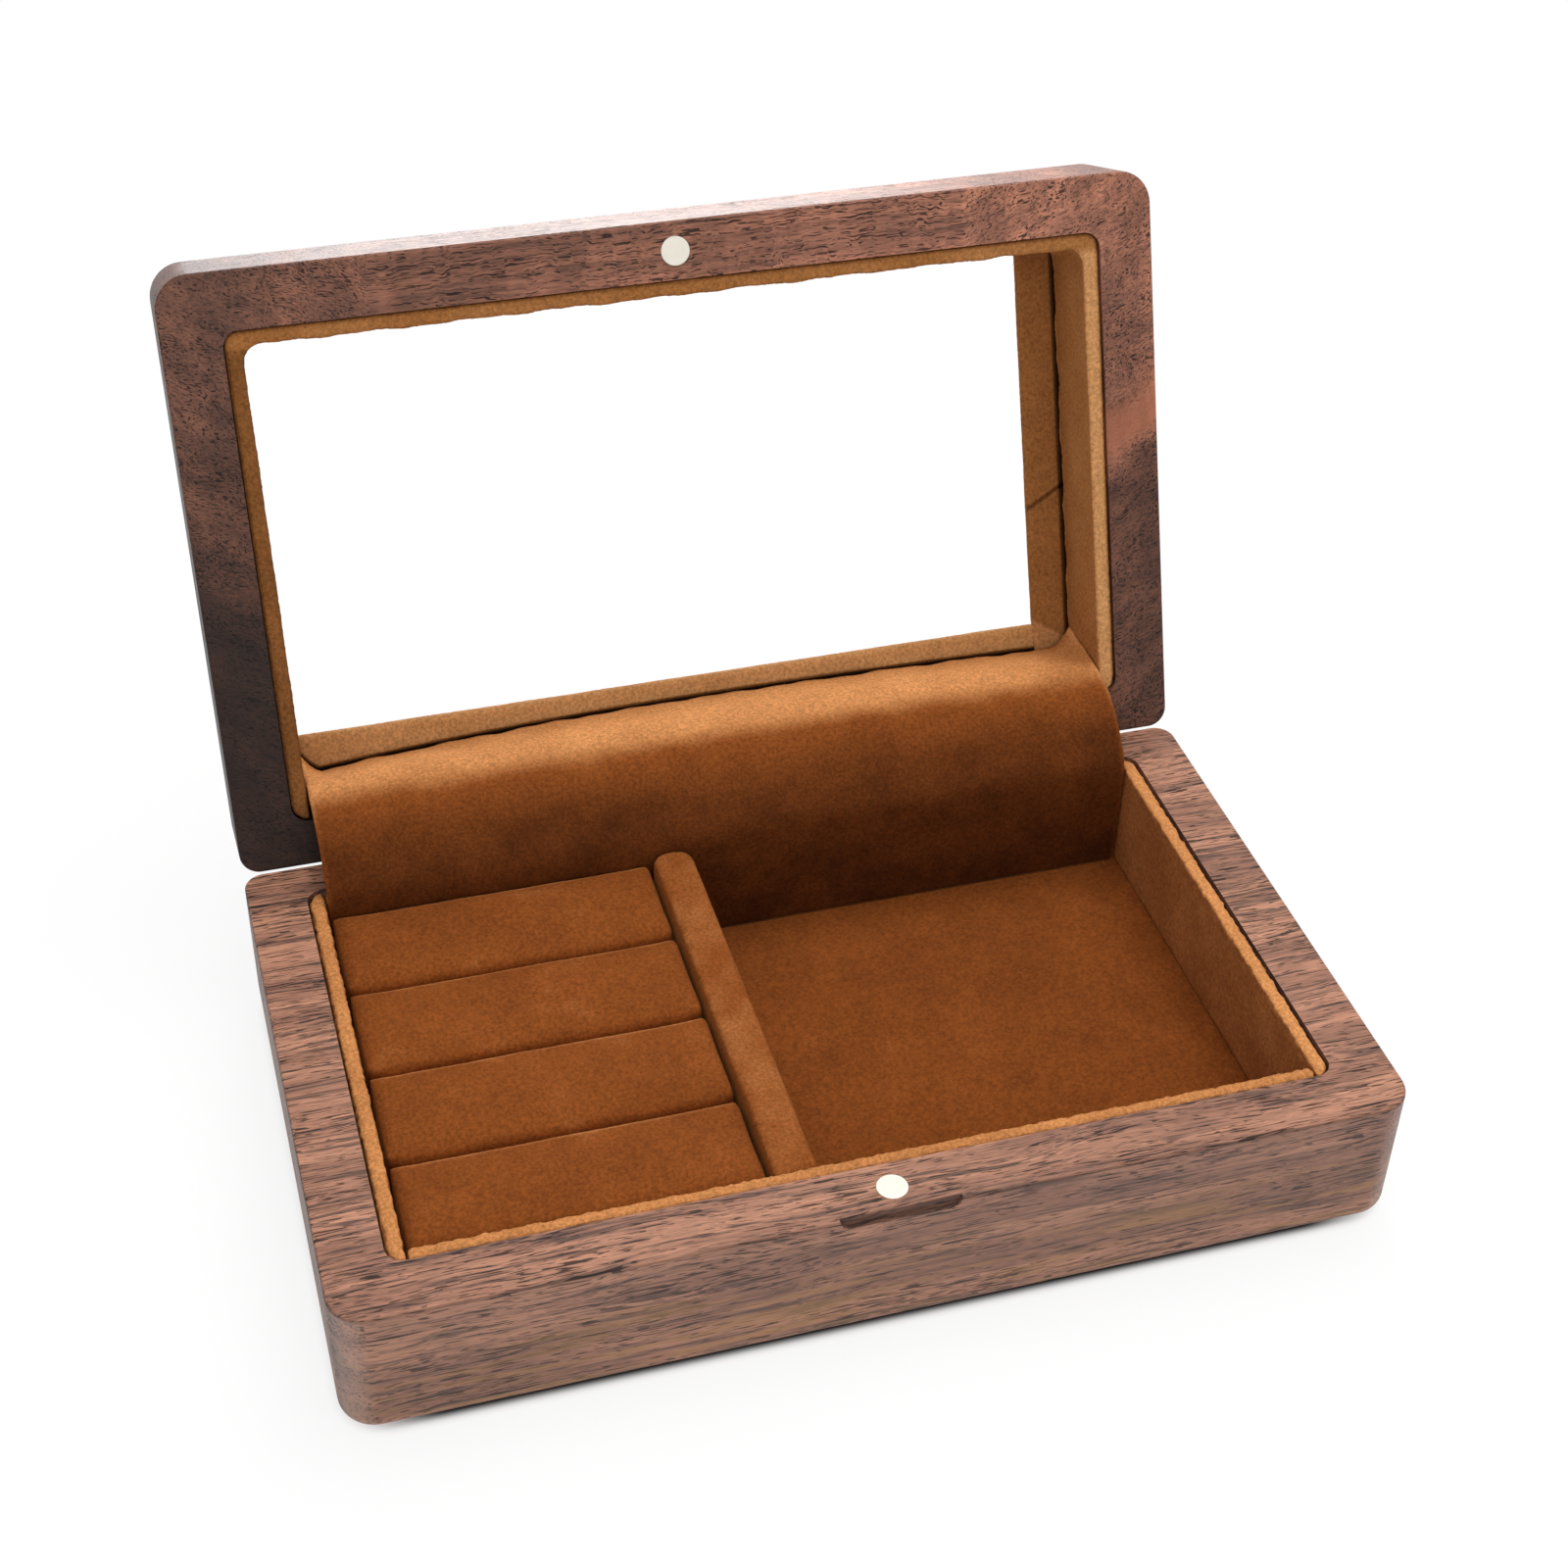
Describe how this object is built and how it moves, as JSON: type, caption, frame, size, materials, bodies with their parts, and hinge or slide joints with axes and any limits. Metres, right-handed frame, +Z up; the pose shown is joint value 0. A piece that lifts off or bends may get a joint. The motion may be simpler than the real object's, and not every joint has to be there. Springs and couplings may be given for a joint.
{
  "type": "wooden jewellery box",
  "caption": "Milled walnut jewellery box with a hinged glass-window lid, velvet ring rolls, a divider and an open compartment.",
  "frame": {"origin": "middle of the flat underside of the base", "axes": "+X to the right seen from the front, along the hinge pin; front with the finger nick towards -Y; +Z up"},
  "size_m": [0.175, 0.1602, 0.1233],
  "materials": {
    "walnut": "oiled satin walnut, grain along the width",
    "velvet": "short caramel velvet pile over board or foam",
    "glass": "clear polished sheet",
    "brass": "plain brushed brass",
    "magnet": "satin nickel plate"
  },
  "bodies": {
    "base": {"base_block": "walnut", "base_magnet": "magnet", "floor_board": "velvet", "base_lining_left": "velvet", "base_lining_right": "velvet", "base_lining_front": "velvet", "base_lining_back": "velvet", "divider": "velvet", "ring_roll_1": "velvet", "ring_roll_2": "velvet", "ring_roll_3": "velvet", "ring_roll_4": "velvet", "hinge_base_leaf_left": "brass", "hinge_base_leaf_right": "brass", "hinge_pin_left": "brass", "hinge_pin_right": "brass", "hinge_base_screws": "brass", "hinge_flap": "velvet"},
    "lid": {"lid_frame": "walnut", "lid_magnet": "magnet", "window_pane": "glass", "window_bead_left": "velvet", "window_bead_right": "velvet", "window_bead_front": "velvet", "window_bead_back": "velvet", "lid_lining_left": "velvet", "lid_lining_right": "velvet", "lid_lining_front": "velvet", "lid_lining_back": "velvet", "hinge_lid_leaf_left": "brass", "hinge_lid_leaf_right": "brass", "hinge_lid_screws": "brass"}
  },
  "joints": [
    {"name": "lid_hinge", "type": "hinge", "parent": "base", "child": "lid", "pos_m": [0, 0.052, 0.0261], "axis": [1, 0, 0], "range_deg": [0, 110.5], "deforming": ["hinge_flap"]}
  ]
}
